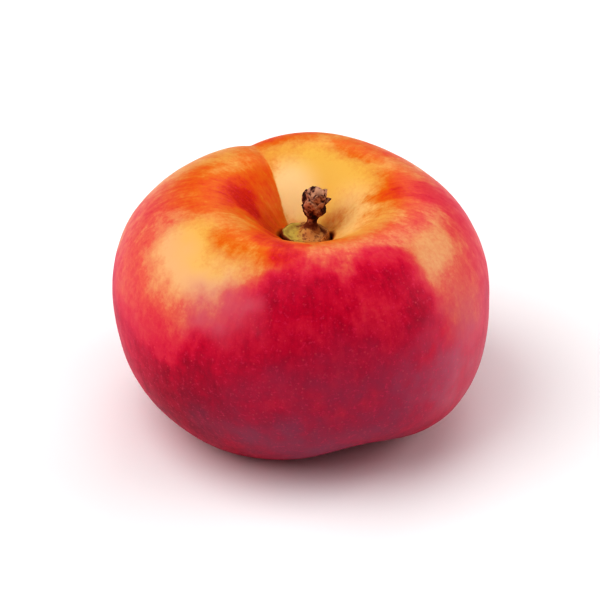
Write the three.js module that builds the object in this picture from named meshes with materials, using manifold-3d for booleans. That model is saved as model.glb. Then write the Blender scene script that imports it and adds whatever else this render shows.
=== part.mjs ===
// A flat nectarine, picked, with the stub of its stalk left in the stem cavity.
// Millimetres, +Z up. The origin is on the resting plane, below the middle of the fruit.
// Azimuths are degrees round +Z from +X, and polar angles are degrees down from +Z.

import * as THREE from "three";
import { mergeVertices } from "three/addons/utils/BufferGeometryUtils.js";
import Module from "manifold-3d";

// Driving dimensions of the fruit
const FRUIT_RADIUS = 33;
const HALF_HEIGHT = 25.4; // of the full form, before the hollows lower it
const MIDDLE_HEIGHT = 23; // of the widest ring
const UPPER_SQUARENESS = 2.25; // 2 is round, higher is squarer
const LOWER_SQUARENESS = 2.54;

// The stem cavity, a funnel in the top, and the basin at the blossom end
const STEM_CENTRE = [1.1, -0.2];
const CAVITY_DEPTH = 15.8;
const CAVITY_WIDTH = 12.5;
const CAVITY_ROUNDNESS = 1.68;
const BASIN_DEPTH = 8.2;
const BASIN_WIDTH = 10.5;
const BASIN_ROUNDNESS = 1.9;

// The suture, a groove from the cavity over the back and down to the basin
const SUTURE_AZIMUTH = 110;
const SUTURE_OFFSET = 1.3; // how far it passes the stalk on the left
const SUTURE_WIDTHS = [3.6, 4.6]; // of its left side, which is steeper, and its right
const SUTURE_CREST = 0.35; // rounds the bottom of the groove
const SUTURE_START = 2; // over this length it starts beside the stalk
const SUTURE_DEPTHS = [
  // polar angle, depth
  [0, 0.0],
  [13, 3.2],
  [31, 2.4],
  [52, 1.1],
  [100, 0.8],
  [145, 0.9],
  [180, 0.0],
];

// Short folds where the flesh gathers round the stalk: azimuth, width, depth
const STEM_FOLDS = [
  [30, 1.5, 0.6],
  [-42, 1.8, 0.3],
  [172, 1.7, 0.5],
];
const FOLD_START = 4.4;
const FOLD_REACH = 3.8;

// Swellings and flats: azimuth, polar angle, spread in azimuth, spread in polar angle, height
const SWELLINGS = [
  [-108, 126, 30, 26, -1.7],
  [-64, 136, 22, 22, -2.3],
  [-34, 122, 28, 26, 0.8],
  [-160, 118, 34, 30, -0.9],
  [142, 42, 30, 22, -0.5],
  [84, 44, 22, 18, 0.5],
  [-88, 42, 40, 18, 0.4],
  [30, 48, 30, 24, -0.4],
  [60, 84, 34, 34, 0.4],
  [-125, 150, 26, 22, 0.8],
];

// Three low lobes round the basin carry the fruit. They would reach half a millimetre below
// the resting plane, and the fruit's weight flattens each of them on it.
const LOBE_COUNT = 3;
const LOBE_AZIMUTH = -112;
const LOBE_HEIGHT = 0.42;
const LOBE_POLAR = 152;
const LOBE_SPREAD = 24;

// The fruit's mesh
const FRUIT_SIDES = 72;
const FRUIT_RINGS = 44;
const RING_CROWDING = 0.16; // draws the rings towards both ends, where the forms are finer

// The stalk: a flared oval foot, a neck and a woody knob with bud scales
const SEAT_HEIGHT = 33.5; // of the flat that the foot stands on
const SEAT_WALL = 0.3; // least height of the flesh round the foot above that flat
const FOOT_LENGTH = 9.0;
const FOOT_WIDTH = 7.2;
const FOOT_TURN = -17; // degrees from +X
const FOOT_THICKNESS = 2.1;
const FOOT_SIDES = 36;
const SEAT_CLEARANCE = 0.3;
const STALK_LEAN = 7; // degrees, towards the next azimuth
const STALK_LEAN_AZIMUTH = 10;
const NECK_OFFSET = [0.55, 1.3];
const NECK_START = 0.8; // inside the foot
const NECK_RADIUS = 0.85;
const FLARE = 1.3; // how much the neck widens into the foot
const FLARE_END = 3.6;
const NECK_END = 3.8; // where the neck starts to widen into the knob
const KNOB_RADIUS = 1.9;
const KNOB_START = 5.9; // where the knob has its full radius
const KNOB_SHOULDER = 7.5; // above it the knob rounds off
const STALK_HEIGHT = 10.3;
const SCAR_DEPTH = 0.12; // of the rings that old scales left on the knob
const SCAR_SPACING = 1.37;
const SCAR_END = 9.4;
const STALK_WAVES = [
  // share of the radius, count round the stalk, turn with height
  [0.07, 3, 1],
  [0.05, 7, -2],
];
const STALK_STEPS = 22;
const STALK_SIDES = 24;

// Bud scales: height on the knob, azimuth, tilt outwards, length
const SCALES = [
  [5.4, 205, 38, 1.8],
  [5.4, 272, 28, 1.9],
  [5.5, 340, 32, 1.9],
  [5.4, 60, 28, 1.8],
  [5.5, 130, 28, 1.8],
  [5.9, 188, 42, 1.5],
  [6.9, 245, 22, 2.1],
  [6.8, 305, 24, 2.2],
  [7.2, 352, 42, 2.3],
  [6.8, 75, 26, 2.0],
  [6.9, 130, 24, 2.1],
  [8.2, 210, 16, 1.8],
  [8.5, 290, 14, 1.7],
  [8.3, 20, 20, 2.0],
  [8.2, 110, 14, 1.8],
];
const SCALE_RADIUS = 1.15;
const SCALE_FLATNESS = 0.5;
const SCALE_SIDES = 7;
const SCALE_SINK = 0.45; // how deep a scale is set into the knob

const degrees = THREE.MathUtils.degToRad;
const wasm = await Module();
wasm.setup();

// The signed angle from b to a, in degrees from -180 to 180
function angleBetween(a, b) {
  return THREE.MathUtils.euclideanModulo(a - b + 180, 360) - 180;
}

// A bell of height 1 at 0, by how many spreads away the point is
function bell(...spreads) {
  return Math.exp(-spreads.reduce((sum, s) => sum + s * s, 0));
}

// Reads a list of [position, value] pairs with smooth steps between them
function readSteps(steps, at) {
  const next = steps.findIndex(([position]) => position > at);
  if (next === 0) return steps[0][1];
  if (next < 0) return steps[steps.length - 1][1];
  const [[low, lowValue], [high, highValue]] = [steps[next - 1], steps[next]];
  return THREE.MathUtils.lerp(lowValue, highValue, THREE.MathUtils.smoothstep(at, low, high));
}

// How far all swellings together push the skin out at a direction
function swellingAt(polar, azimuth) {
  let height = 0;
  for (const [atAzimuth, atPolar, wide, tall, rise] of SWELLINGS) {
    height += rise * bell(angleBetween(azimuth, atAzimuth) / wide, (polar - atPolar) / tall);
  }
  return height;
}

// The depth of the suture, a V-shaped groove that starts at the stalk, by the place relative to it
function sutureAt(x, y, polar) {
  const turn = degrees(SUTURE_AZIMUTH);
  const along = x * Math.cos(turn) + y * Math.sin(turn);
  const across = y * Math.cos(turn) - x * Math.sin(turn) - SUTURE_OFFSET;
  const width = across > 0 ? SUTURE_WIDTHS[0] : SUTURE_WIDTHS[1];
  const fall = (SUTURE_CREST - Math.hypot(across, SUTURE_CREST)) / width;
  const start = THREE.MathUtils.smoothstep(along, 0, SUTURE_START);
  return start * readSteps(SUTURE_DEPTHS, polar) * Math.exp(fall);
}

// The depth of the short folds round the stalk, by the place relative to it
function foldsAt(x, y) {
  const out = Math.hypot(x, y);
  const azimuth = THREE.MathUtils.radToDeg(Math.atan2(y, x));
  let depth = 0;
  for (const [atAzimuth, width, fold] of STEM_FOLDS) {
    const across = out * degrees(angleBetween(azimuth, atAzimuth));
    depth += fold * bell(across / width, (out - FOLD_START) / FOLD_REACH);
  }
  return depth;
}

// The point of the skin at a polar angle and an azimuth
function skinPoint(polar, azimuth) {
  const [sine, cosine] = [Math.sin(degrees(polar)), Math.cos(degrees(polar))];
  const squareness = cosine > 0 ? UPPER_SQUARENESS : LOWER_SQUARENESS;
  const size = (Math.abs(sine) ** squareness + Math.abs(cosine) ** squareness) ** (-1 / squareness);
  const lobes = Math.cos(LOBE_COUNT * degrees(azimuth - LOBE_AZIMUTH));
  const push =
    swellingAt(polar, azimuth) + LOBE_HEIGHT * lobes * bell((polar - LOBE_POLAR) / LOBE_SPREAD);
  const out = (FRUIT_RADIUS * size + push) * sine;
  const x = out * Math.cos(degrees(azimuth));
  const y = out * Math.sin(degrees(azimuth));
  let z = MIDDLE_HEIGHT + (HALF_HEIGHT * size + push) * cosine;
  let lowest = 0;
  const [fromStemX, fromStemY] = [x - STEM_CENTRE[0], y - STEM_CENTRE[1]];
  const groove = sutureAt(fromStemX, fromStemY, polar);
  if (cosine > 0) {
    const fromStem = Math.hypot(fromStemX, fromStemY) / CAVITY_WIDTH;
    z -= CAVITY_DEPTH * Math.exp(-(fromStem ** CAVITY_ROUNDNESS));
    z -= foldsAt(fromStemX, fromStemY);
    if (fromStem < 1) {
      lowest = SEAT_HEIGHT + SEAT_WALL;
    }
  } else {
    z += BASIN_DEPTH * Math.exp(-((out / BASIN_WIDTH) ** BASIN_ROUNDNESS));
  }
  const inwards = 1 - (groove * sine) / Math.max(out, 1);
  return new THREE.Vector3(x * inwards, y * inwards, Math.max(z - groove * cosine, lowest));
}

// The fruit: one closed skin round solid flesh, with flats where it rests
function fruitGeometry() {
  const skin = new THREE.SphereGeometry(1, FRUIT_SIDES, FRUIT_RINGS).rotateX(Math.PI / 2);
  const place = skin.attributes.position;
  const direction = new THREE.Vector3();
  for (let i = 0; i < place.count; i++) {
    direction.fromBufferAttribute(place, i).normalize();
    const even = Math.acos(THREE.MathUtils.clamp(direction.z, -1, 1));
    const polar = THREE.MathUtils.radToDeg(even - RING_CROWDING * Math.sin(2 * even));
    const azimuth = THREE.MathUtils.radToDeg(Math.atan2(direction.y, direction.x));
    const point = skinPoint(polar, azimuth);
    place.setXYZ(i, point.x, point.y, point.z);
  }
  return skin;
}

// A closed geometry as a manifold-3d solid
function solidFrom(geometry) {
  const bare = geometry.clone();
  bare.deleteAttribute("normal");
  bare.deleteAttribute("uv");
  const merged = mergeVertices(bare, 1e-3);
  return new wasm.Manifold(
    new wasm.Mesh({
      numProp: 3,
      vertProperties: new Float32Array(merged.attributes.position.array),
      triVerts: new Uint32Array(merged.index.array),
    }),
  );
}

// A manifold-3d solid as a three.js geometry
function geometryFrom(solid) {
  const { vertProperties, triVerts } = solid.getMesh();
  const geometry = new THREE.BufferGeometry();
  geometry.setAttribute("position", new THREE.BufferAttribute(vertProperties, 3));
  geometry.setIndex(new THREE.BufferAttribute(triVerts, 1));
  geometry.computeVertexNormals();
  return geometry;
}

// The oval outline of the foot as a lathe of the given half profile, [radius share, height] pairs
function ovalLathe(profile, clearance) {
  const points = profile.map(([share, height]) => new THREE.Vector2(share, height));
  return new THREE.LatheGeometry(points, FOOT_SIDES)
    .rotateX(Math.PI / 2)
    .scale(FOOT_LENGTH / 2 + clearance, FOOT_WIDTH / 2 + clearance, 1)
    .rotateZ(degrees(FOOT_TURN));
}

// The flared foot, with a low rim round a dished top
function footGeometry() {
  const rim = FOOT_THICKNESS;
  return ovalLathe(
    [
      [0, 0],
      [0.93, 0],
      [1, 0.35],
      [1, rim - 0.5],
      [0.95, rim - 0.1],
      [0.86, rim],
      [0.76, rim - 0.25],
      [0.5, rim - 0.1],
      [0.3, rim + 0.35],
      [0, rim + 0.7],
    ],
    0,
  );
}

// The socket that the foot stands in, cut into the floor of the cavity
function socketGeometry() {
  const top = HALF_HEIGHT; // well above the skin
  return ovalLathe(
    [
      [0, 0],
      [1, 0],
      [1, top],
      [0, top],
    ],
    SEAT_CLEARANCE,
  );
}

// The radius of the neck and knob at a height, with ring scars on the knob
function stubRadius(height) {
  const rise = THREE.MathUtils.smoothstep(height, NECK_END, KNOB_START);
  const above = Math.max(0, (height - KNOB_SHOULDER) / (STALK_HEIGHT - KNOB_SHOULDER));
  const knob = KNOB_RADIUS * Math.sqrt(Math.max(0, 1 - above * above));
  const flared = 1 - THREE.MathUtils.smoothstep(height, NECK_START, FLARE_END);
  const neck = NECK_RADIUS + FLARE * flared;
  const scars = SCAR_DEPTH * rise * Math.sin((2 * Math.PI * height) / SCAR_SPACING);
  return THREE.MathUtils.lerp(neck, knob, rise) + (height < SCAR_END ? scars : 0);
}

// The neck and the knob: a rough lump, uneven round its axis
function stubGeometry() {
  const profile = [new THREE.Vector2(0, NECK_START)];
  for (let i = 0; i < STALK_STEPS; i++) {
    const height = THREE.MathUtils.lerp(NECK_START, STALK_HEIGHT, i / STALK_STEPS);
    profile.push(new THREE.Vector2(stubRadius(height), height));
  }
  profile.push(new THREE.Vector2(0, STALK_HEIGHT));
  const stub = new THREE.LatheGeometry(profile, STALK_SIDES).rotateX(Math.PI / 2);
  const place = stub.attributes.position;
  for (let i = 0; i < place.count; i++) {
    const [x, y, z] = [place.getX(i), place.getY(i), place.getZ(i)];
    const around = Math.atan2(y, x);
    let uneven = 1;
    for (const [share, count, turn] of STALK_WAVES) {
      uneven += share * Math.sin(count * around + turn * z);
    }
    place.setXYZ(i, x * uneven, y * uneven, z);
  }
  return stub;
}

// One bud scale: a flat pointed cone, leaning out from the knob
function scaleGeometry(height, azimuth, tilt, length) {
  return new THREE.ConeGeometry(SCALE_RADIUS, length, SCALE_SIDES)
    .rotateX(Math.PI / 2)
    .scale(SCALE_FLATNESS, 1, 1)
    .translate(0, 0, length / 2 - SCALE_SINK)
    .rotateY(degrees(tilt))
    .translate(stubRadius(height) - SCALE_SINK, 0, height)
    .rotateZ(degrees(azimuth));
}

// The whole stalk as one solid, standing on the plane z = 0
function stalkGeometry() {
  const lean = new THREE.Matrix4()
    .makeRotationAxis(
      new THREE.Vector3(
        -Math.sin(degrees(STALK_LEAN_AZIMUTH)),
        Math.cos(degrees(STALK_LEAN_AZIMUTH)),
        0,
      ),
      degrees(STALK_LEAN),
    )
    .setPosition(...NECK_OFFSET, 0);
  const woody = [stubGeometry()];
  for (const [height, azimuth, tilt, length] of SCALES) {
    woody.push(scaleGeometry(height, azimuth, tilt, length));
  }
  const stub = woody
    .map((geometry) => solidFrom(geometry.applyMatrix4(lean)))
    .reduce((joined, solid) => joined.add(solid));
  return geometryFrom(stub.add(solidFrom(footGeometry())));
}

const skinMaterial = new THREE.MeshStandardMaterial({
  color: 0xc8402c,
  roughness: 0.4,
  metalness: 0,
});
const stalkMaterial = new THREE.MeshStandardMaterial({
  color: 0x5f3a26,
  roughness: 0.85,
  metalness: 0,
});

const socket = solidFrom(socketGeometry().translate(...STEM_CENTRE, SEAT_HEIGHT));
const fruit = new THREE.Mesh(
  geometryFrom(solidFrom(fruitGeometry()).subtract(socket)),
  skinMaterial,
);
fruit.name = "fruit";

const stalk = new THREE.Mesh(stalkGeometry(), stalkMaterial);
stalk.name = "stalk";
stalk.position.set(...STEM_CENTRE, SEAT_HEIGHT);

const nectarine = new THREE.Group();
nectarine.add(fruit, stalk);

export default nectarine;
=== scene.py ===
import math

import bmesh
import bpy
from mathutils import Matrix, Vector, noise


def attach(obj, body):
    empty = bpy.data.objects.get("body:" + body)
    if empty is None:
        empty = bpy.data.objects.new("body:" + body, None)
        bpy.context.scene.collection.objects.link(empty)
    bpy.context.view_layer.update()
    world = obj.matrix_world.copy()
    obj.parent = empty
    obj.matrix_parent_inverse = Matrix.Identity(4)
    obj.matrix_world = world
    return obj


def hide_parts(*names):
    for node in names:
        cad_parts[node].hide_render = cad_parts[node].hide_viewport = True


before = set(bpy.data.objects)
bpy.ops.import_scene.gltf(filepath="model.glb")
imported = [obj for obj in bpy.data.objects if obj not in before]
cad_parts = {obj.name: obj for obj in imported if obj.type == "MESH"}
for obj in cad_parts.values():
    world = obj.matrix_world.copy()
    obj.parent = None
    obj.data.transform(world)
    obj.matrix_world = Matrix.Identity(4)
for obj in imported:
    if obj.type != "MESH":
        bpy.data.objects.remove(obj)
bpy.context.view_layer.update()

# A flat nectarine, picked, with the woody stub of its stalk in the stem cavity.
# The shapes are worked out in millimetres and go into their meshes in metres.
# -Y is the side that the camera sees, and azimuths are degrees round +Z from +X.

mm = 0.001


# Small helpers for shapes

def bell(*spreads):
    return math.exp(-sum(spread * spread for spread in spreads))


def mix(low, high, share):
    return low + (high - low) * share


def ease(start, end, value):  # 0 at start, 1 at end, smooth between
    share = min(max((value - start) / (end - start), 0.0), 1.0)
    return share * share * (3.0 - 2.0 * share)


def turnBetween(a, b):  # signed angle from b to a, in degrees
    return (a - b + 180.0) % 360.0 - 180.0


def readSteps(steps, at):  # steps are pairs of place and value
    for (low, lowValue), (high, highValue) in zip(steps[:-1], steps[1:]):
        if at <= high:
            return mix(lowValue, highValue, ease(low, high, at))
    return steps[-1][1]


def spin(profile, sides):  # distances and heights that start and end on the axis
    shape = bmesh.new()
    ring = [shape.verts.new((out, 0.0, height)) for out, height in profile]
    edges = [shape.edges.new(pair) for pair in zip(ring[:-1], ring[1:])]
    bmesh.ops.spin(
        shape,
        geom=ring + edges,
        axis=(0, 0, 1),
        cent=(0, 0, 0),
        angle=math.tau,
        steps=sides,
        use_merge=True,
    )
    bmesh.ops.remove_doubles(shape, verts=shape.verts, dist=1e-5)
    return shape


def finishPiece(name, shape, material, replaced):
    bmesh.ops.recalc_face_normals(shape, faces=shape.faces)
    for face in shape.faces:
        face.smooth = True
    mesh = bpy.data.meshes.new(name)
    shape.to_mesh(mesh)
    shape.free()
    mesh.materials.append(material)
    piece = bpy.data.objects.new(name, mesh)
    bpy.context.scene.collection.objects.link(piece)
    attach(piece, "root")
    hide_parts(replaced)
    print("made", name, "with", len(mesh.polygons), "faces")
    return piece


# Small helpers for materials

class Wire:  # one output of a node; sums and products of wires add their Math nodes
    def __init__(self, recipe, socket):
        self.recipe = recipe
        self.socket = socket

    def maths(self, operation, *values):
        return self.recipe.node("Math", {"operation": operation}, dict(enumerate(values)))

    def __add__(self, other):
        return self.maths("ADD", self, other)

    def __radd__(self, other):
        return self.maths("ADD", other, self)

    def __sub__(self, other):
        return self.maths("SUBTRACT", self, other)

    def __rsub__(self, other):
        return self.maths("SUBTRACT", other, self)

    def __mul__(self, other):
        return self.maths("MULTIPLY", self, other)

    def __rmul__(self, other):
        return self.maths("MULTIPLY", other, self)

    def __truediv__(self, other):
        return self.maths("DIVIDE", self, other)

    def __abs__(self):
        return self.maths("ABSOLUTE", self)


patchEdge = (1.35, 0.35)  # half widths from the middle between which a patch comes in


class Recipe:  # one material and its nodes
    def __init__(self, name):
        self.material = bpy.data.materials.new(name)
        self.material.use_nodes = True
        self.tree = self.material.node_tree
        self.shader = self.tree.nodes["Principled BSDF"]

    def node(self, kind, settings=None, sockets=None, output=0):
        made = self.tree.nodes.new("ShaderNode" + kind)
        for name, value in (settings or {}).items():
            if name == "stops":
                self.placeStops(made.color_ramp, value)
            else:
                setattr(made, name, value)
        for name, value in (sockets or {}).items():
            self.plug(made.inputs[name], value)
        return Wire(self, made.outputs[output])

    def placeStops(self, ramp, stops):
        for at, colour in stops[1:-1]:
            ramp.elements.new(at)
        for element, (at, colour) in zip(ramp.elements, stops):
            element.position = at
            element.color = colour

    def plug(self, target, value):
        if isinstance(value, Wire):
            self.tree.links.new(value.socket, target)
        else:
            target.default_value = value

    def set(self, **sockets):  # an underscore in a name stands for a space
        for name, value in sockets.items():
            self.plug(self.shader.inputs[name.replace("_", " ")], value)

    def millimetres(self):
        return self.scaled(self.node("TexCoord", output="Object"), 1.0 / mm)

    def vector(self, operation, *values, output=0):
        return self.node("VectorMath", {"operation": operation}, dict(enumerate(values)), output)

    def scaled(self, vector, factor):
        return self.node("VectorMath", {"operation": "SCALE"}, {0: vector, "Scale": factor})

    def length(self, vector):
        return self.vector("LENGTH", vector, output="Value")

    def distanceAlong(self, vector, direction):
        return self.vector("DOT_PRODUCT", vector, direction, output="Value")

    def flat(self, vector):  # without its height
        return self.vector("MULTIPLY", vector, (1.0, 1.0, 0.0))

    def axis(self, vector, letter):
        return self.node("SeparateXYZ", None, {0: vector}, letter)

    def blend(self, first, second, share):  # two values
        return self.node("Mix", {"data_type": "FLOAT"}, {0: share, 2: first, 3: second})

    def colour(self, first, second, share):
        return self.node("Mix", {"data_type": "RGBA"}, {0: share, 6: first, 7: second}, 2)

    def ramp(self, value, stops):
        return self.node("ValToRGB", {"stops": stops}, {0: value})

    def step(self, value, start, end):  # 0 at start, 1 at end, smooth between
        sockets = {"Value": value, "From Min": start, "From Max": end}
        return self.node("MapRange", {"interpolation_type": "SMOOTHSTEP"}, sockets)

    def patch(self, place, middle, halves):  # 1 in the middle of an oval patch, 0 well outside it
        away = self.vector("DIVIDE", self.vector("SUBTRACT", place, middle), halves)
        return self.step(self.length(away), *patchEdge)

    def grain(self, place, scale, detail, roughness, output="Fac"):
        sockets = {"Vector": place, "Scale": scale, "Detail": detail, "Roughness": roughness}
        return self.node("TexNoise", {}, sockets, output)

    def bump(self, height, strength, distance):
        return self.node("Bump", None, {"Strength": strength, "Distance": distance, "Height": height})


def fromHex(code):  # a screen colour as linear numbers
    parts = [int(code[i:i + 2], 16) / 255.0 for i in (0, 2, 4)]
    linear = [p / 12.92 if p <= 0.04045 else ((p + 0.055) / 1.055) ** 2.4 for p in parts]
    return (*linear, 1.0)


# The skin's shape

fruit = {
    "radius": 33.0,
    "halfHeight": 25.4,  # of the full form, before the hollows lower it
    "middleHeight": 23.0,
    "upperSquareness": 2.25,  # 2 is round, higher is squarer
    "lowerSquareness": 2.54,
    "stemCentre": (1.1, -0.2),
    "cavity": (15.8, 12.5, 1.68),  # depth, width, roundness
    "basin": (8.2, 10.5, 1.9),
    "sutureAzimuth": 110.0,
    "sutureOffset": 1.3,  # how far it passes the stalk on the left
    "sutureWidths": (3.6, 4.6),  # on the left and on the right of its crest
    "sutureCrest": 0.35,
    "sutureStart": 2.0,  # over this length it starts beside the stalk
    "sutureDepths": [(0, 0.0), (13, 3.2), (31, 2.4), (52, 1.1), (100, 0.8), (145, 0.9), (180, 0.0)],
    "folds": [(30, 1.5, 0.6), (-42, 1.8, 0.3), (172, 1.7, 0.5)],  # azimuth, width, depth
    "foldMiddle": 4.4,  # distance from the stalk's middle where they are deepest
    "foldReach": 3.8,
    "puckerDepth": 0.22,  # of the fine folds where the skin meets the stalk
    "puckerOften": 4.5,  # more makes them narrower
    "puckerTwist": 0.12,
    "puckerMiddle": 6.0,  # distance from the stalk's middle where they are deepest
    "puckerReach": 4.5,
    "swellings": [  # azimuth, polar angle, spread in both, height
        (-108, 126, 30, 26, -1.7),
        (-64, 136, 22, 22, -2.3),
        (-34, 122, 28, 26, 0.8),
        (-160, 118, 34, 30, -0.9),
        (142, 42, 30, 22, -0.5),
        (84, 44, 22, 18, 0.5),
        (-88, 42, 40, 18, 0.4),
        (30, 48, 30, 24, -0.4),
        (60, 84, 34, 34, 0.4),
        (-125, 150, 26, 22, 0.8),
    ],
    "lobes": (3, -112.0, 0.42, 152.0, 24.0),  # count, azimuth, height, polar angle, spread
    "unevenness": 0.16,
    "unevenScales": (0.11, 0.32),  # of its wide and of its fine part
    "unevenFine": 0.3,  # height of the fine part against the wide one
    "collar": (0.15, 1.16, 0.1),  # swelling against the foot: height, share of the foot, spread
    "socketEdge": (1.05, 0.99),  # shares of the foot between which the skin drops to the seat
    "sides": 288,
    "ringSpacings": [(10, 0.24), (26, 1.1), (140, 1.1), (165, 0.7)],  # polar angle, degrees between
}


def footShare(x, y):  # 1 on the edge of the stalk's foot, less inside it
    turn = math.radians(stalk["footTurn"])
    x, y = x - fruit["stemCentre"][0], y - fruit["stemCentre"][1]
    along = x * math.cos(turn) + y * math.sin(turn)
    across = y * math.cos(turn) - x * math.sin(turn)
    return math.hypot(along / (stalk["footLength"] / 2), across / (stalk["footWidth"] / 2))


def swellingAt(polar, azimuth):
    height = 0.0
    for atAzimuth, atPolar, wide, tall, rise in fruit["swellings"]:
        height += rise * bell(turnBetween(azimuth, atAzimuth) / wide, (polar - atPolar) / tall)
    count, lobeAzimuth, lobeHeight, lobePolar, spread = fruit["lobes"]
    lobes = math.cos(count * math.radians(azimuth - lobeAzimuth))
    return height + lobeHeight * lobes * bell((polar - lobePolar) / spread)


def sutureAt(x, y, polar):
    turn = math.radians(fruit["sutureAzimuth"])
    along = x * math.cos(turn) + y * math.sin(turn)
    across = y * math.cos(turn) - x * math.sin(turn) - fruit["sutureOffset"]
    left, right = fruit["sutureWidths"]
    width = left if across > 0 else right
    across = math.hypot(across, fruit["sutureCrest"])
    depth = readSteps(fruit["sutureDepths"], polar) * ease(0.0, fruit["sutureStart"], along)
    return depth * math.exp((fruit["sutureCrest"] - across) / width)


def foldsAt(x, y):
    out = math.hypot(x, y)
    azimuth = math.atan2(y, x)
    depth = 0.0
    for atAzimuth, width, fold in fruit["folds"]:
        across = out * math.radians(turnBetween(math.degrees(azimuth), atAzimuth))
        depth += fold * bell(across / width, (out - fruit["foldMiddle"]) / fruit["foldReach"])
    often = fruit["puckerOften"]
    spot = (math.cos(azimuth) * often, math.sin(azimuth) * often, out * fruit["puckerTwist"])
    pucker = noise.noise(Vector(spot))
    reach = bell((out - fruit["puckerMiddle"]) / fruit["puckerReach"])
    return depth + fruit["puckerDepth"] * pucker * reach


def hollowAt(out, depth, width, roundness):
    return depth * math.exp(-((out / width) ** roundness))


def unevenAt(spot):
    wide, small = fruit["unevenScales"]
    return noise.noise(spot * wide) + fruit["unevenFine"] * noise.noise(spot * small)


def skinPoint(polar, azimuth):
    sine, cosine = math.sin(math.radians(polar)), math.cos(math.radians(polar))
    squareness = fruit["upperSquareness"] if cosine > 0 else fruit["lowerSquareness"]
    size = (abs(sine) ** squareness + abs(cosine) ** squareness) ** (-1.0 / squareness)
    push = swellingAt(polar, azimuth)
    out = (fruit["radius"] * size + push) * sine
    x = out * math.cos(math.radians(azimuth))
    y = out * math.sin(math.radians(azimuth))
    z = fruit["middleHeight"] + (fruit["halfHeight"] * size + push) * cosine

    fromX, fromY = x - fruit["stemCentre"][0], y - fruit["stemCentre"][1]
    fromStem = math.hypot(fromX, fromY)
    groove = sutureAt(fromX, fromY, polar)
    if cosine > 0:
        z -= hollowAt(fromStem, *fruit["cavity"])
        z -= foldsAt(fromX, fromY)
    else:
        z += hollowAt(out, *fruit["basin"])
    inwards = 1.0 - groove * sine / max(out, 1.0)  # no less than 1, to stay clear of the axis
    x, y, z = x * inwards, y * inwards, z - groove * cosine
    if cosine > 0 and fromStem < fruit["cavity"][1]:
        z = max(z, stalk["seatHeight"] + stalk["seatWall"])

    bulge = 1.0 + fruit["unevenness"] * unevenAt(Vector((x, y, z))) / fruit["radius"]
    x, y = x * bulge, y * bulge
    if cosine > 0:
        share = footShare(x, y)
        rise, atShare, spread = fruit["collar"]
        z += rise * bell((share - atShare) / spread)
        z = mix(z, stalk["seatHeight"], ease(*fruit["socketEdge"], share))
    return Vector((x, y, max(z, 0.0))) * mm


def ringAngles():
    angles = [0.0]
    while angles[-1] < 179.5:
        angles.append(angles[-1] + readSteps(fruit["ringSpacings"], angles[-1]))
    angles[-1] = 180.0  # the last one closes the bottom
    return angles


def makeSkin(material):
    angles = [math.radians(polar) for polar in ringAngles()]
    shape = spin([(math.sin(angle), math.cos(angle)) for angle in angles], fruit["sides"])
    for vert in shape.verts:
        polar = math.degrees(math.acos(max(-1.0, min(1.0, vert.co.z))))
        azimuth = math.degrees(math.atan2(vert.co.y, vert.co.x))
        vert.co = skinPoint(polar, azimuth)
    return finishPiece("fruitSkin", shape, material, "fruit")


# The skin's finish

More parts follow.
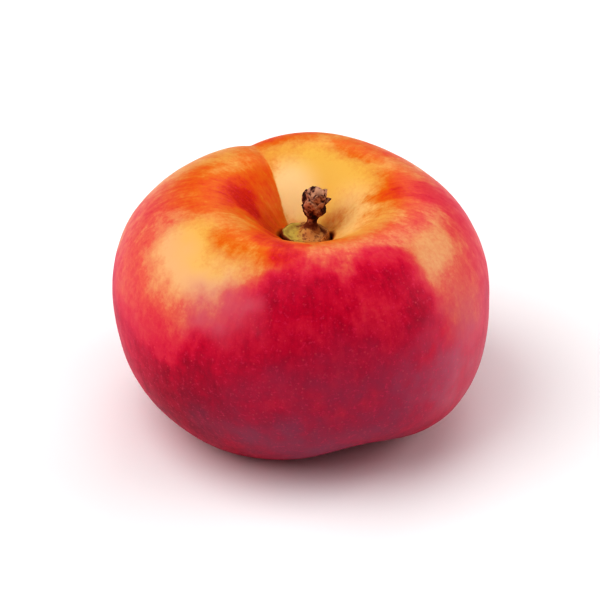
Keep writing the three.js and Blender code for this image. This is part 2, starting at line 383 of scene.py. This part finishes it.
skinLook = {
    "warmBlush": [  # redness and colour in the cavity and behind it
        (0.00, "E4B862"),
        (0.25, "DC9A50"),
        (0.45, "DA7A1C"),
        (0.65, "DA641C"),
        (0.85, "D2461C"),
        (1.00, "C83018"),
        (1.50, "A8141C"),
    ],
    "coolBlush": [  # redness and colour on the cheeks and the sides
        (0.00, "E2B384"),
        (0.20, "DE9A72"),
        (0.40, "DA7260"),
        (0.60, "D6505A"),
        (0.80, "D23252"),
        (1.00, "C60C46"),
        (1.25, "A8043A"),
        (1.50, "820030"),
    ],
    "fullest": 1.5,
    "coolFrom": (14.0, 26.0),  # distances from the stalk between which the blush turns cool
    "coolPull": 0.25,  # how much later it does so towards the back
    "upperHeights": (24.0, 32.0),  # the warm colours and the crease begin between these
    "paleAndSheen": "F2D6AC",  # partly the palest ground near the stalk, partly a painted sheen on the cavity's walls there
    "paleAndSheenPatches": [  # middle, half widths, strength
        ((-2.0, 9.0, 38.0), (5.5, 7.0, 6.0), 0.7),
        ((9.5, 0.0, 38.5), (5.5, 8.5, 5.5), 0.45),
    ],
    "paleAndSheenFrom": (0.25, 0.05),  # shares of the fullest redness
    "bloomAndReflections": [  # the dull bloom, partly painted reflections of the floor and a painted highlight: middle, half widths, strength, colour
        ((7.0, -28.0, 16.0), (24.0, 14.0, 17.0), 0.66, "A04C68"),
        ((27.0, -14.0, 19.0), (10.0, 15.0, 14.0), 0.52, "C87080"),
        # a painted pink highlight low on the left cheek
        ((-13.0, -25.5, 35.5), (8.0, 6.0, 6.0), 0.45, "CC7480"),
        ((22.0, -23.5, 23.0), (9.0, 8.0, 9.0), 0.30, "B0647C"),
        ((-4.0, -29.0, 11.0), (16.0, 7.0, 7.0), 0.42, "98546C"),
    ],
    "bloomAndReflectionShares": {"mottle": 0.6, "haze": 1.1},
    "topRedness": 0.36,
    "sideRedness": 1.0,
    # deeper red towards the bottom: partly the skin's own colour, partly painted shade
    "lowRedness": 1.14,
    "lowHeights": (26.0, 6.0),  # heights between which the low redness begins
    "edgeHeight": 31.0,  # where the blush starts on the side, in millimetres
    "edgeTilt": -0.28,  # how much higher it starts towards the front
    "edgeDepths": (-6.0, 8.0),  # depths below there between which it grows to its full
    "edgeSway": 34.0,  # how unevenly it starts at the back, in millimetres
    "edgeGrain": (0.06, 1.0, 0.5),
    "behind": (-8.0, 12.0),  # places on Y between which the back begins
    "patches": [  # middle, half widths, redness
        ((29.5, 0.0, 35.0), (8.5, 17.0, 9.0), 0.68),  # right shoulder
        ((-26.0, -6.0, 38.0), (9.0, 14.0, 9.0), 0.48),  # left shoulder
        ((-15.0, 11.0, 43.0), (13.0, 12.0, 6.0), 0.24),  # left of the suture
        ((0.0, 25.5, 41.5), (17.0, 6.0, 5.0), 0.70),  # top of the back
        ((4.0, 11.0, 39.0), (11.5, 10.5, 9.0), -0.04),  # back wall of the cavity
        ((12.0, 17.5, 42.0), (8.0, 4.5, 4.0), 0.55),  # behind it on the right
        ((10.0, -3.0, 39.5), (8.5, 8.5, 6.0), 0.10),  # right of the stalk
        ((-15.0, 2.5, 42.6), (9.0, 7.0, 4.0), 0.66),  # top of the left lobe
        ((-8.8, 3.2, 39.6), (6.2, 6.6, 6.0), 1.02),  # left wall of the cavity
        ((-5.6, 2.0, 36.5), (3.4, 4.0, 3.0), 0.70),  # its lower end
        ((-17.5, -17.0, 40.0), (14.0, 11.0, 10.0), -0.05),  # left cheek
        ((-22.5, -19.0, 32.0), (11.0, 9.0, 5.5), 0.40),  # below it
        ((-29.0, -12.0, 31.0), (5.0, 8.0, 5.5), 0.50),
        ((-24.0, -19.5, 29.5), (5.5, 6.0, 4.5), 0.64),
        ((-9.5, -14.0, 43.0), (7.5, 7.0, 4.0), 0.40),  # from the left cheek to the cavity
        ((4.0, -18.0, 43.0), (8.0, 5.5, 4.5), 0.36),  # front lip
        ((19.0, 3.5, 42.0), (8.0, 5.0, 4.0), 0.76),  # right lip
        ((17.5, -5.5, 42.2), (6.0, 5.0, 3.5), 0.48),  # in front of it
        ((22.0, -11.5, 39.5), (7.0, 10.0, 7.0), 0.12),  # right cheek
        ((27.5, -15.0, 31.0), (6.0, 8.0, 8.0), 0.42),  # below it
        ((18.6, -6.0, 42.2), (5.0, 6.0, 3.5), 0.56),  # above the right cheek
        ((13.4, -4.5, 41.2), (4.0, 6.5, 3.5), 0.24),  # between that and the cavity
        ((14.5, -22.0, 39.5), (8.0, 6.5, 6.5), 1.02),  # right red lobe
        ((20.5, -23.0, 34.5), (4.5, 4.5, 5.0), 1.10),  # its lower end
        ((13.6, -17.5, 42.0), (4.0, 3.0, 3.0), 0.76),  # its upper end
        ((0.0, -25.5, 38.0), (10.0, 7.0, 8.0), 1.06),  # front red lobe
        ((6.8, -21.0, 42.0), (2.5, 3.5, 3.0), 0.50),  # between the two
        ((-4.5, -5.5, 36.5), (4.0, 3.0, 4.0), 0.85),  # in front of the stalk
        ((-5.2, -12.0, 42.0), (4.0, 5.5, 4.0), 0.80),  # lip on its left
        ((-2.6, -17.5, 43.0), (3.4, 4.0, 3.0), 0.92),
        ((5.4, 3.2, 36.0), (3.0, 2.4, 2.6), 0.28),  # painted shade: more orange where the fold and the stalk's shadow lie, right of the stalk
        ((-20.0, -26.0, 13.0), (17.0, 13.0, 15.0), 1.28),  # low on the left, darker: painted shade where this side reflects less
        ((0.0, 0.0, 6.0), (11.0, 11.0, 6.0), 0.62),  # blossom end
    ],
    "sway": (0.14, 2.0, 0.55),  # the grain that bends the patches' edges
    "swayReach": 9.0,  # twice the furthest that it moves them, in millimetres
    "warmAreas": [  # parts that stay warm further out: middle, half widths
        ((-10.0, -13.5, 43.0), (11.0, 9.0, 6.0)),
        ((-14.0, 3.0, 42.5), (8.0, 9.0, 6.0)),
        ((0.0, 23.0, 41.5), (14.0, 8.0, 6.0)),
    ],
    "calmAreas": [  # where the blush is less mottled: middle, half widths
        ((-27.0, -16.0, 31.0), (9.0, 12.0, 10.0)),
        ((25.0, -15.0, 33.0), (8.0, 10.0, 10.0)),
    ],
    "calm": 0.6,  # the share of the mottling that they lose
    "creaseShadeRedness": 0.52,  # of the band along the left of the suture: painted shade of its left flank
    "creaseWidth": 4.6,
    "creaseInner": (-0.15, 0.35),  # its sharp edge, along the bottom of the suture
    "creaseOuter": (1.6, 0.4),  # its soft edge, as shares of its width
    "creaseStart": (3.0, 6.0),  # distances from the stalk along the suture
    "creaseEnd": (24.0, 14.0),
    "seamRedness": 0.18,  # what the line of the suture adds behind the cavity
    "seamWidth": 2.2,
    "seamStart": (21.0, 30.0),
    "grains": {  # scale, detail, roughness, as in every grain below
        "haze": (0.13, 2.0, 0.5),
        "mottle": (0.5, 4.0, 0.6),
        "fine": (1.5, 3.0, 0.7),
    },
    "streaks": (1.6, 3.0, 0.6),
    "streakOften": 11.0,  # more makes the streaks narrower
    "streakDrift": 0.16,  # more makes them shorter
    "mottling": {"mottle": 0.5, "streaks": 0.45, "haze": 0.4},  # grows with the redness
    "mottlingFrom": (-0.05, 0.5),  # redness between which it grows
    "fineShare": 0.36,
    "speckles": "E04C74",  # lighter specks all over the red parts
    "speckleGrain": (0.03, 0.2),  # fine grain between which they begin
    "speckleRedness": (0.55, 0.9),  # redness between which they begin
    "speckleStrength": 0.4,
    "dots": "F08E88",  # small pale dots, far between
    "dotScale": 0.95,
    "dotSize": (0.26, 0.08),  # distances from a dot's middle between which it begins
    "dotRedness": (0.4, 0.9),
    "dotMottle": (-0.1, 0.1),
    "dotStrength": 0.16,
    "footRingBrown": "984418",  # darker brown round the stalk's foot, in the crevice
    "footRingShares": (1.22, 1.04),  # of the foot
    "footRingHeights": (32.0, 33.0),  # heights between which it begins
    "footRingStrength": 0.85,
    "scar": "8A5A38",  # at the blossom end
    "scarRadii": (2.4, 1.0),  # distances from the axis between which it begins
    "scarWave": 2.0,
    "scarStrength": 0.8,
    "roughness": (0.4, 0.16),  # on average, and what the mottle adds
    "gloss": 0.21,
    "flesh": {"weight": 0.1, "radius": (1.0, 0.35, 0.15), "scale": 0.0025},  # light under the skin
    "pores": (2.2, 3.0, 0.6),
    "poreBump": (0.25, 0.00004),  # strength, distance in metres
}


class SkinPlaces:  # where a point of the skin lies, in millimetres
    def __init__(self, recipe):
        self.place = recipe.millimetres()
        self.height = recipe.axis(self.place, "Z")
        self.upper = recipe.step(self.height, *skinLook["upperHeights"])  # 0 on the underside
        sway = recipe.grain(self.place, *skinLook["sway"], "Color")
        sway = recipe.vector("SUBTRACT", sway, (0.5, 0.5, 0.5))
        self.swayed = recipe.vector("ADD", self.place, recipe.scaled(sway, skinLook["swayReach"]))
        stem = (*fruit["stemCentre"], 0.0)
        self.fromStem = recipe.flat(recipe.vector("SUBTRACT", self.place, stem))
        turn = math.radians(fruit["sutureAzimuth"])
        self.along = recipe.distanceAlong(self.fromStem, (math.cos(turn), math.sin(turn), 0.0))
        self.across = recipe.distanceAlong(self.fromStem, (-math.sin(turn), math.cos(turn), 0.0))
        self.across = self.across - fruit["sutureOffset"]


def skinGrains(recipe, at):  # each is about 0 on average
    grains = {
        name: recipe.grain(at.place, *values) - 0.5 for name, values in skinLook["grains"].items()
    }
    direction = recipe.scaled(recipe.vector("NORMALIZE", at.fromStem), skinLook["streakOften"])
    streakPlace = recipe.vector("ADD", direction, recipe.scaled(at.place, skinLook["streakDrift"]))
    grains["streaks"] = recipe.grain(streakPlace, *skinLook["streaks"]) - 0.5
    return grains


def skinRedness(recipe, at):  # full on the sides, less on top, and pulled up or down by each patch
    look = skinLook
    swayedHeight = recipe.axis(at.swayed, "Z")
    behind = recipe.step(recipe.axis(at.place, "Y"), *look["behind"])
    edge = look["edgeHeight"] + look["edgeTilt"] * recipe.axis(at.swayed, "Y")
    edge = edge + look["edgeSway"] * behind * (recipe.grain(at.place, *look["edgeGrain"]) - 0.5)
    lowness = recipe.step(edge - swayedHeight, *look["edgeDepths"])
    redness = recipe.blend(look["topRedness"], look["sideRedness"], lowness)
    # deeper red low down, partly painted shade
    redness = recipe.blend(redness, look["lowRedness"], recipe.step(swayedHeight, *look["lowHeights"]))
    for middle, halves, wanted in look["patches"]:
        redness = recipe.blend(redness, wanted, recipe.patch(at.swayed, middle, halves))

    # painted shade: a darker orange band on the suture's left flank, which faces away from the light
    outer = [share * look["creaseWidth"] for share in look["creaseOuter"]]
    creaseShade = recipe.step(at.across, *look["creaseInner"]) * recipe.step(at.across, *outer)
    creaseShade = creaseShade * recipe.step(at.along, *look["creaseStart"])
    creaseShade = creaseShade * recipe.step(at.along, *look["creaseEnd"])
    redness = recipe.blend(redness, look["creaseShadeRedness"], creaseShade * at.upper)
    seam = recipe.step(abs(at.across), look["seamWidth"], 0.0)
    seam = seam * recipe.step(at.along, *look["seamStart"])
    return redness + look["seamRedness"] * seam


def mottledRedness(recipe, at, grains, redness):
    look = skinLook
    strength = recipe.step(redness, *look["mottlingFrom"])
    for middle, halves in look["calmAreas"]:
        strength = strength * (1.0 - look["calm"] * recipe.patch(at.place, middle, halves))
    mottling = sum(share * grains[name] for name, share in look["mottling"].items())
    return redness + strength * mottling + look["fineShare"] * grains["fine"]


def skinBlush(recipe, at, grains, mottled):  # the colours that follow the redness, the pale ground with its painted sheen, and the bloom with its painted reflections
    look = skinLook
    share = mottled / look["fullest"]
    warm, cool = [
        recipe.ramp(share, [(redness / look["fullest"], fromHex(code)) for redness, code in blush])
        for blush in (look["warmBlush"], look["coolBlush"])
    ]
    # paler near the stalk: partly the ground's own colour, partly painted sheen
    for middle, halves, strength in look["paleAndSheenPatches"]:
        paleAndSheen = recipe.patch(at.place, middle, halves) * recipe.step(share, *look["paleAndSheenFrom"])
        warm = recipe.colour(warm, fromHex(look["paleAndSheen"]), paleAndSheen * strength)
    away = recipe.length(at.fromStem) - look["coolPull"] * at.along
    coolness = recipe.step(away, *look["coolFrom"])
    for middle, halves in look["warmAreas"]:
        coolness = coolness * (1.0 - recipe.patch(at.swayed, middle, halves))
    coolness = 1.0 - at.upper * (1.0 - coolness)
    skin = recipe.colour(warm, cool, coolness)
    # the bloom, partly painted reflections and highlight, over the blush
    bloomAndReflectionGrain = sum(share * grains[name] for name, share in look["bloomAndReflectionShares"].items())
    for middle, halves, strength, colour in look["bloomAndReflections"]:
        bloomAndReflection = recipe.patch(at.swayed, middle, halves) * (strength + bloomAndReflectionGrain)
        skin = recipe.colour(skin, fromHex(colour), bloomAndReflection)
    return skin


def skinMarks(recipe, at, grains, redness, skin):  # specks, dots, the darker brown ring round the stalk's foot, and the scar
    look = skinLook
    speckles = recipe.step(grains["fine"], *look["speckleGrain"])
    speckles = speckles * recipe.step(redness, *look["speckleRedness"])
    skin = recipe.colour(skin, fromHex(look["speckles"]), speckles * look["speckleStrength"])

    cells = {"Vector": at.place, "Scale": look["dotScale"], "Randomness": 1.0}
    dots = recipe.step(recipe.node("TexVoronoi", {"feature": "F1"}, cells), *look["dotSize"])
    dots = dots * recipe.step(redness, *look["dotRedness"])
    dots = dots * recipe.step(grains["mottle"], *look["dotMottle"])
    skin = recipe.colour(skin, fromHex(look["dots"]), dots * look["dotStrength"])

    # darker brown in the crevice round the stalk's foot
    ring = recipe.step(footShareWire(recipe, at.place), *look["footRingShares"])
    ring = ring * recipe.step(at.height, *look["footRingHeights"])
    skin = recipe.colour(skin, fromHex(look["footRingBrown"]), ring * look["footRingStrength"])

    fromAxis = recipe.length(recipe.flat(at.place)) + look["scarWave"] * grains["mottle"]
    scar = recipe.step(fromAxis, *look["scarRadii"]) * (1.0 - at.upper)
    return recipe.colour(skin, fromHex(look["scar"]), scar * look["scarStrength"])


def makeSkinMaterial():
    look = skinLook
    recipe = Recipe("nectarineSkin")
    at = SkinPlaces(recipe)
    grains = skinGrains(recipe, at)
    redness = skinRedness(recipe, at)
    skin = skinBlush(recipe, at, grains, mottledRedness(recipe, at, grains, redness))
    skin = skinMarks(recipe, at, grains, redness, skin)
    average, added = look["roughness"]
    recipe.set(
        Base_Color=skin,
        Roughness=average + added * grains["mottle"],
        Specular_IOR_Level=look["gloss"],
        Subsurface_Weight=look["flesh"]["weight"],
        Subsurface_Radius=look["flesh"]["radius"],
        Subsurface_Scale=look["flesh"]["scale"],
        Normal=recipe.bump(recipe.grain(at.place, *look["pores"]), *look["poreBump"]),
    )
    print("made the skin's finish with", len(recipe.tree.nodes), "nodes")
    return recipe.material


# The stalk's shape

stalk = {
    "seatHeight": 33.5,
    "seatWall": 0.3,  # least height of the flesh round the foot above its seat
    "footLength": 9.0,
    "footWidth": 7.2,
    "footTurn": -17.0,
    "footThickness": 2.1,
    "footUnderside": [(0.0, 0.0), (0.93, 0.0), (1.0, 0.35)],  # share of the way out, height
    "footTop": [  # share of the way out, height from its thickness upwards
        (1.0, -0.5),
        (0.97, -0.1),
        (0.89, 0.0),
        (0.8, -0.25),
        (0.66, -0.55),
        (0.45, -0.5),
        (0.3, -0.1),
        (0.2, 0.5),
        (0.0, 0.7),
    ],
    "footSides": 72,
    "rimFrom": (0.7, 0.9),  # shares of the foot between which the rim rises
    "rimWave": 0.35,
    "rimWaveOften": 2.2,
    "rimWaveSlice": 3.0,  # another number gives another wave
    "lipAzimuth": -8.0,  # the rim stands higher here and leans inwards
    "lipSpread": 34.0,
    "lipHeight": 0.45,
    "lipLean": 0.16,
    "lipHeights": (1.2, 2.0),
    "lean": 7.0,
    "leanAzimuth": 10.0,
    "neckOffset": (0.55, 1.3),
    "neckStart": 0.8,
    "neckRadius": 0.85,
    "flare": 1.3,  # how much the neck widens into the foot
    "flareEnd": 3.6,
    "neckEnd": 3.8,
    "knobRadius": 1.9,
    "knobStart": 5.9,
    "knobShoulder": 7.5,
    "height": 10.3,
    "stubRings": 56,
    "stubSides": 64,
    "roughFrom": (3.6, 5.6),  # heights between which the bark becomes rough
    "lumps": (0.75, 0.2),  # scale, height against the radius
    "cracks": (1.3, 0.24),
    "crackStretch": 0.6,
    "barkSink": 0.05,
    "scaleWidth": 1.15,
    "scaleThickness": 0.42,
    "scaleFoot": (0.8, 0.35),  # width at its foot, and the share of its length with the full width
    "scalePoint": (3.0, 0.7),  # powers that round off its tip
    "scaleCup": (0.3, 0.6),  # how hollow it is, and the share of that lost at the tip
    "scaleRoot": (0.4, 0.45),  # how far its foot lies below its place and inside the knob
    "scales": [  # height on the knob, azimuth, tilt outwards, length
        (5.4, 205, 38, 1.8),
        (5.4, 272, 28, 1.9),
        (5.5, 340, 32, 1.9),
        (5.4, 60, 28, 1.8),
        (5.5, 130, 28, 1.8),
        (5.9, 188, 42, 1.5),
        (6.9, 245, 22, 2.1),
        (6.8, 305, 24, 2.2),
        (7.2, 352, 42, 2.3),
        (6.8, 75, 26, 2.0),
        (6.9, 130, 24, 2.1),
        (8.2, 210, 16, 1.8),
        (8.5, 290, 14, 1.7),
        (8.3, 20, 20, 2.0),
        (8.2, 110, 14, 1.8),
    ],
}


def makeFoot(material):
    top = [(share, stalk["footThickness"] + height) for share, height in stalk["footTop"]]
    shape = spin(stalk["footUnderside"] + top, stalk["footSides"])
    turn = Matrix.Rotation(math.radians(stalk["footTurn"]), 3, "Z")
    seat = Vector((*fruit["stemCentre"], stalk["seatHeight"]))
    often, layer = stalk["rimWaveOften"], stalk["rimWaveSlice"]
    for vert in shape.verts:
        x, y, height = vert.co
        azimuth = math.atan2(y, x)
        wave = noise.noise(Vector((math.cos(azimuth) * often, math.sin(azimuth) * often, layer)))
        lifted = ease(*stalk["rimFrom"], math.hypot(x, y))
        lip = bell(turnBetween(math.degrees(azimuth), stalk["lipAzimuth"]) / stalk["lipSpread"])
        if height > stalk["footThickness"] / 2:
            height += lifted * (stalk["rimWave"] * wave + stalk["lipHeight"] * lip)
        share = 1.0 - stalk["lipLean"] * lip * lifted * ease(*stalk["lipHeights"], height)
        x = x * share * stalk["footLength"] / 2
        y = y * share * stalk["footWidth"] / 2
        vert.co = (turn @ Vector((x, y, height)) + seat) * mm
    piece = finishPiece("stalkFoot", shape, material, "stalk")
    rounding = piece.modifiers.new("rounding", "SUBSURF")
    rounding.levels = rounding.render_levels = 1
    return piece


def stubRadius(height):
    rise = ease(stalk["neckEnd"], stalk["knobStart"], height)
    above = max(0.0, (height - stalk["knobShoulder"]) / (stalk["height"] - stalk["knobShoulder"]))
    knob = stalk["knobRadius"] * math.sqrt(max(0.0, 1.0 - above * above))
    neck = stalk["neckRadius"] + stalk["flare"] * ease(stalk["flareEnd"], stalk["neckStart"], height)
    return mix(neck, knob, rise)


def leaningPlace():
    azimuth = math.radians(stalk["leanAzimuth"])
    axis = Vector((-math.sin(azimuth), math.cos(azimuth), 0.0))
    lean = Matrix.Rotation(math.radians(stalk["lean"]), 4, axis)
    stemX, stemY = fruit["stemCentre"]
    offsetX, offsetY = stalk["neckOffset"]
    return Matrix.Translation((stemX + offsetX, stemY + offsetY, stalk["seatHeight"])) @ lean


def makeStub(material):
    steps = stalk["stubRings"]
    heights = [mix(stalk["neckStart"], stalk["height"], i / steps) for i in range(steps)]
    profile = [(stubRadius(height), height) for height in heights]
    shape = spin([(0.0, stalk["neckStart"])] + profile + [(0.0, stalk["height"])], stalk["stubSides"])
    place = leaningPlace()
    lumpScale, lumpHeight = stalk["lumps"]
    crackScale, crackHeight = stalk["cracks"]
    for vert in shape.verts:
        x, y, z = vert.co
        lumps = noise.noise(Vector((x, y, z)) * lumpScale)
        cracks = abs(noise.noise(Vector((x, y, z * stalk["crackStretch"])) * crackScale))
        rough = lumpHeight * lumps + crackHeight * cracks - stalk["barkSink"]
        uneven = 1.0 + ease(*stalk["roughFrom"], z) * rough
        vert.co = place @ Vector((x * uneven, y * uneven, z)) * mm
    return finishPiece("stalkStub", shape, material, "stalk")


def makeScale(shape, height, azimuth, tilt, length):
    footWidth, fullFrom = stalk["scaleFoot"]
    tip, roundness = stalk["scalePoint"]
    cup, cupLoss = stalk["scaleCup"]
    rootBelow, rootInside = stalk["scaleRoot"]
    verts = bmesh.ops.create_grid(shape, x_segments=6, y_segments=6, size=1.0)["verts"]
    for vert in verts:
        along = (vert.co.y + 1.0) / 2.0
        wide = stalk["scaleWidth"] * (1.0 - along ** tip) ** roundness
        wide *= mix(footWidth, 1.0, ease(0.0, fullFrom, along))
        hollow = cup * (1.0 - vert.co.x ** 2) * (1.0 - cupLoss * along)
        vert.co = Vector((hollow, vert.co.x * wide, along * length - rootBelow))
    bmesh.ops.remove_doubles(shape, verts=verts, dist=1e-4)
    verts = [vert for vert in verts if vert.is_valid]
    faces = list({face for vert in verts for face in vert.link_faces})
    bmesh.ops.recalc_face_normals(shape, faces=faces)
    thick = bmesh.ops.solidify(shape, geom=faces, thickness=stalk["scaleThickness"])
    added = [part for part in thick["geom"] if isinstance(part, bmesh.types.BMVert)]
    verts = list(set(verts + added))
    place = (
        leaningPlace()
        @ Matrix.Rotation(math.radians(azimuth), 4, "Z")
        @ Matrix.Translation((stubRadius(height) - rootInside, 0, height))
        @ Matrix.Rotation(math.radians(tilt), 4, "Y")
    )
    bmesh.ops.transform(shape, matrix=Matrix.Scale(mm, 4) @ place, verts=verts)


def makeScales(material):
    shape = bmesh.new()
    for scale in stalk["scales"]:
        makeScale(shape, *scale)
    return finishPiece("budScales", shape, material, "stalk")


# The stalk's finish

stalkLook = {
    # the bark's tones: the dark one partly painted shade, the tan partly painted highlight
    "bark": "84462F",
    "darkBark": "3E1410",
    "tan": "C89C82",
    "footGreen": "C2AC58",
    "footTan": "C89058",
    "footBrown": "743816",
    "barkLumps": (0.6, 2.0, 0.55),  # scale, detail, roughness
    "barkGrain": (2.2, 3.0, 0.6),
    "barkFrom": (0.62, 0.82),
    "tanFrom": (0.68, 0.92),
    "fineInBark": 0.5,  # what the fine grain adds to the lumps
    "fineInTan": 0.4,
    "topHeights": (5.5, 9.5),  # above the seat: the knob is more tan towards its top, a painted highlight where the light falls
    "topHighlight": 0.12,
    "neckHeights": (4.4, 3.0),  # brown below these
    "footHeights": (2.9, 1.9),  # tan below these
    "footTanStrength": 0.8,
    "heightWave": 1.6,
    "barkRoughness": 0.75,
    "barkBump": (0.6, 0.0003),  # strength, distance in metres
    "footGrain": (1.4, 3.0, 0.6),
    "tanSide": (-1.2, 1.4),  # the foot turns from green to tan between these places on X
    "tanSideWave": 3.0,
    "blotches": (0.48, 0.66),
    "blotchStrengths": (0.25, 0.5),  # on the left, and what the right adds
    "groove": (0.62, 0.72, 0.86, 0.76),  # shares of the foot where it starts and ends
    "grooveStrengths": (0.2, 0.7),
    "rim": (0.88, 0.98),
    "shareWave": 0.16,
    "footRoughness": 0.6,
    "footBump": (0.5, 0.0002),
}


def footShareWire(recipe, place):  # 1 on the edge of the stalk's foot, less inside it
    turned = recipe.vector("SUBTRACT", place, (*fruit["stemCentre"], 0.0))
    angle = math.radians(-stalk["footTurn"])
    turned = recipe.node("VectorRotate", {"rotation_type": "Z_AXIS"}, {0: turned, "Angle": angle})
    halves = (stalk["footLength"] / 2, stalk["footWidth"] / 2, 1e6)  # so that heights don't count
    return recipe.length(recipe.vector("DIVIDE", turned, halves))


def makeBarkMaterial():
    look = stalkLook
    recipe = Recipe("stalkBark")
    place = recipe.millimetres()
    lumps = recipe.grain(place, *look["barkLumps"])
    fine = recipe.grain(place, *look["barkGrain"])
    rise = recipe.axis(place, "Z") - stalk["seatHeight"] + look["heightWave"] * (fine - 0.5)
    # dark and mid bark by its lumps; the dark is partly painted shade
    shade = recipe.colour(
        fromHex(look["darkBark"]),
        fromHex(look["bark"]),
        recipe.step(lumps + look["fineInBark"] * fine, *look["barkFrom"]),
    )
    # tan by its lumps and more towards the top: partly the bark's own tan, partly painted highlight
    top = look["topHighlight"] * recipe.step(rise, *look["topHeights"])
    tan = recipe.step(lumps + look["fineInTan"] * fine + top, *look["tanFrom"])
    shade = recipe.colour(shade, fromHex(look["tan"]), tan)
    shade = recipe.colour(shade, fromHex(look["footBrown"]), recipe.step(rise, *look["neckHeights"]))
    foot = recipe.step(rise, *look["footHeights"]) * look["footTanStrength"]
    shade = recipe.colour(shade, fromHex(look["footTan"]), foot)
    bump = recipe.bump(fine + lumps, *look["barkBump"])
    recipe.set(Base_Color=shade, Roughness=look["barkRoughness"], Normal=bump)
    return recipe.material


def makeFootMaterial():
    look = stalkLook
    recipe = Recipe("stalkFoot")
    place = recipe.millimetres()
    grain = recipe.grain(place, *look["footGrain"])
    brown = fromHex(look["footBrown"])
    right = recipe.axis(place, "X") + look["tanSideWave"] * (grain - 0.5)
    right = recipe.step(right, *look["tanSide"])
    foot = recipe.colour(fromHex(look["footGreen"]), fromHex(look["footTan"]), right)
    left, added = look["blotchStrengths"]
    foot = recipe.colour(foot, brown, recipe.step(grain, *look["blotches"]) * (left + added * right))
    share = footShareWire(recipe, place) + look["shareWave"] * (grain - 0.5)
    groove = recipe.step(share, *look["groove"][:2]) * recipe.step(share, *look["groove"][2:])
    left, added = look["grooveStrengths"]
    foot = recipe.colour(foot, brown, groove * (left + added * right))
    foot = recipe.colour(foot, brown, recipe.step(share, *look["rim"]))
    bump = recipe.bump(grain, *look["footBump"])
    recipe.set(Base_Color=foot, Roughness=look["footRoughness"], Normal=bump)
    return recipe.material


makeSkin(makeSkinMaterial())
bark = makeBarkMaterial()
makeFoot(makeFootMaterial())
makeStub(bark)
makeScales(bark)


# The floor, the lights and the camera

studio = {
    "elevation": 33.0,
    "distance": 0.6,
    "target": (0.0, 0.0, 0.0215),
    "frameWidth": 0.105,  # how much the picture takes in at the target
    "sensor": 36.0,
    "clip": (0.01, 20.0),
    "floorColour": (0.92, 0.92, 0.92, 1.0),
    "floorRoughness": 0.9,
    "floorSize": 6.0,
    "world": (1.0, 1.0, 1.0, 1.0),
    "worldStrength": 0.23,
    "lights": [  # name, place, size, watts
        ("keyLight", (-0.40, -0.10, 0.50), 0.8, 2.25),
        ("rightLight", (0.55, 0.05, 0.24), 0.5, 1.05),
        ("backLight", (0.15, 0.55, 0.40), 0.45, 0.5),
        ("topLight", (0.04, -0.12, 0.72), 0.5, 0.45),
    ],
}


def makeFloor():
    shape = bmesh.new()
    bmesh.ops.create_grid(shape, x_segments=8, y_segments=8, size=studio["floorSize"] / 2)
    mesh = bpy.data.meshes.new("floor")
    shape.to_mesh(mesh)
    shape.free()
    recipe = Recipe("floorPaper")
    recipe.set(Base_Color=studio["floorColour"], Roughness=studio["floorRoughness"])
    mesh.materials.append(recipe.material)
    floor = bpy.data.objects.new("floor", mesh)
    bpy.context.scene.collection.objects.link(floor)
    print("made the floor")


def makeLights():
    for name, spot, size, watts in studio["lights"]:
        lamp = bpy.data.lights.new(name, "AREA")
        lamp.shape = "DISK"
        lamp.size = size
        lamp.energy = watts
        holder = bpy.data.objects.new(name, lamp)
        holder.location = spot
        aim = Vector(studio["target"]) - Vector(spot)
        holder.rotation_euler = aim.to_track_quat("-Z", "Y").to_euler()
        bpy.context.scene.collection.objects.link(holder)
    world = bpy.data.worlds.new("paleRoom")
    world.use_nodes = True
    sky = world.node_tree.nodes["Background"]
    sky.inputs["Color"].default_value = studio["world"]
    sky.inputs["Strength"].default_value = studio["worldStrength"]
    bpy.context.scene.world = world
    bpy.context.scene.view_settings.view_transform = "Standard"
    bpy.context.scene.view_settings.look = "Very High Contrast"
    print("made", len(studio["lights"]), "lights")


def makeCamera():
    camera = bpy.data.cameras.new("camera")
    camera.sensor_width = studio["sensor"]
    camera.lens = studio["sensor"] * studio["distance"] / studio["frameWidth"]
    camera.clip_start, camera.clip_end = studio["clip"]
    holder = bpy.data.objects.new("camera", camera)
    rise = math.radians(studio["elevation"])
    back = Vector((0.0, -math.cos(rise), math.sin(rise)))
    holder.location = Vector(studio["target"]) + back * studio["distance"]
    holder.rotation_euler = (-back).to_track_quat("-Z", "Y").to_euler()
    bpy.context.scene.collection.objects.link(holder)
    bpy.context.scene.camera = holder
    print("made the camera, lens", round(camera.lens))


makeFloor()
makeLights()
makeCamera()
